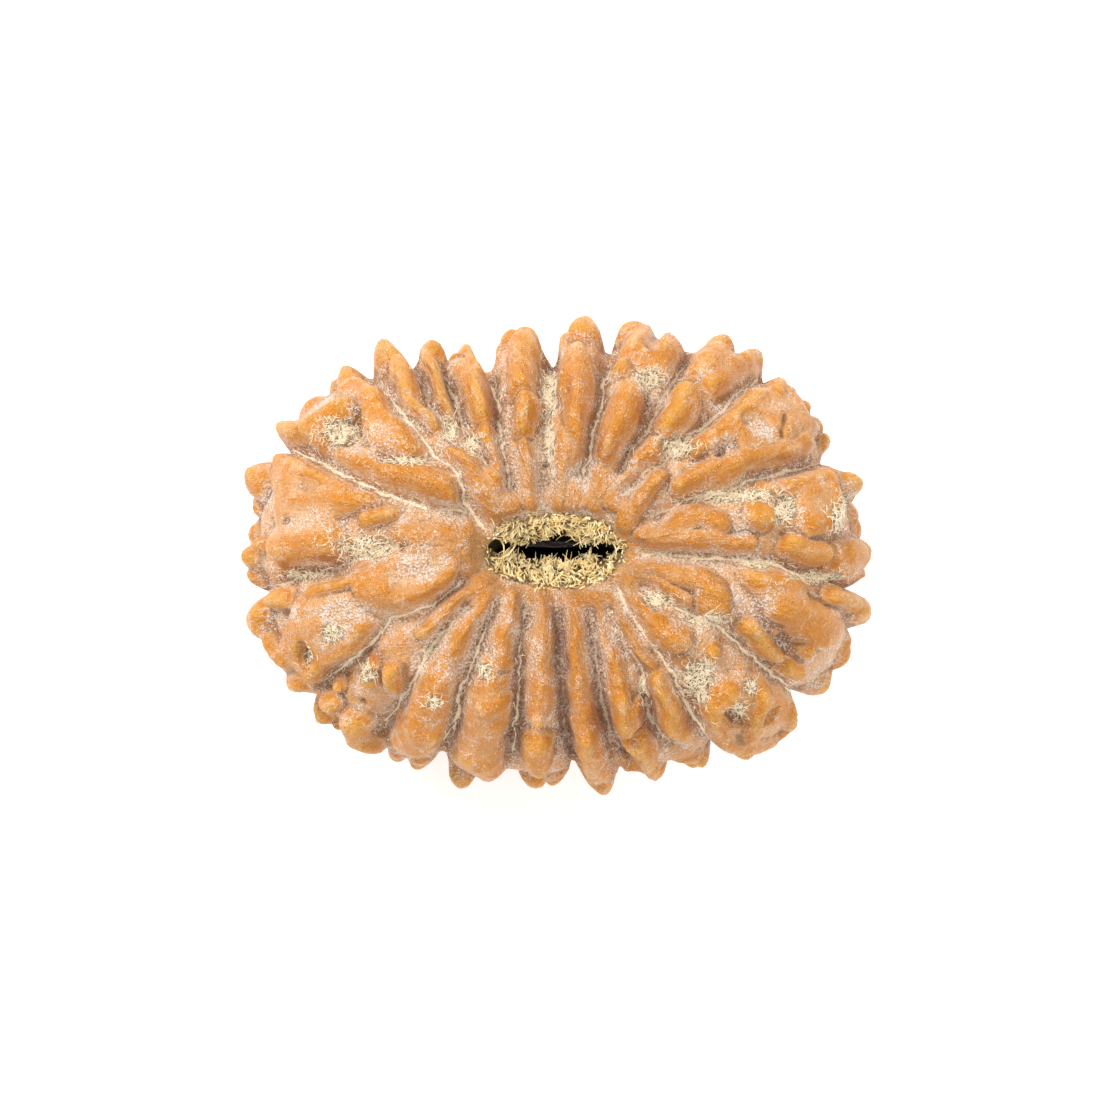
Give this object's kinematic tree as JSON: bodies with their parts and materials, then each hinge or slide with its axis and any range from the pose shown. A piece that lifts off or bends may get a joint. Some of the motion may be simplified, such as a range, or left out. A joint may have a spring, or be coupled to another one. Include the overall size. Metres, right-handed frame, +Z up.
{
  "type": "rudraksha seed",
  "caption": "Oval rudraksha seed with rounded lobes, grooves between its faces and a slit thread channel from pole to pole.",
  "frame": {"origin": "centre of the box on the level that the seed stands on", "axes": "+Z up along the thread channel, +X along the seed's length, +Y across its breadth"},
  "size_m": [0.0336, 0.0256, 0.0208],
  "materials": {
    "nut_shell": "dry orange-tan nut, satin on the lobes and frosted in the grooves"
  },
  "bodies": {
    "root": {"rudraksha_seed": "nut_shell"}
  },
  "joints": []
}
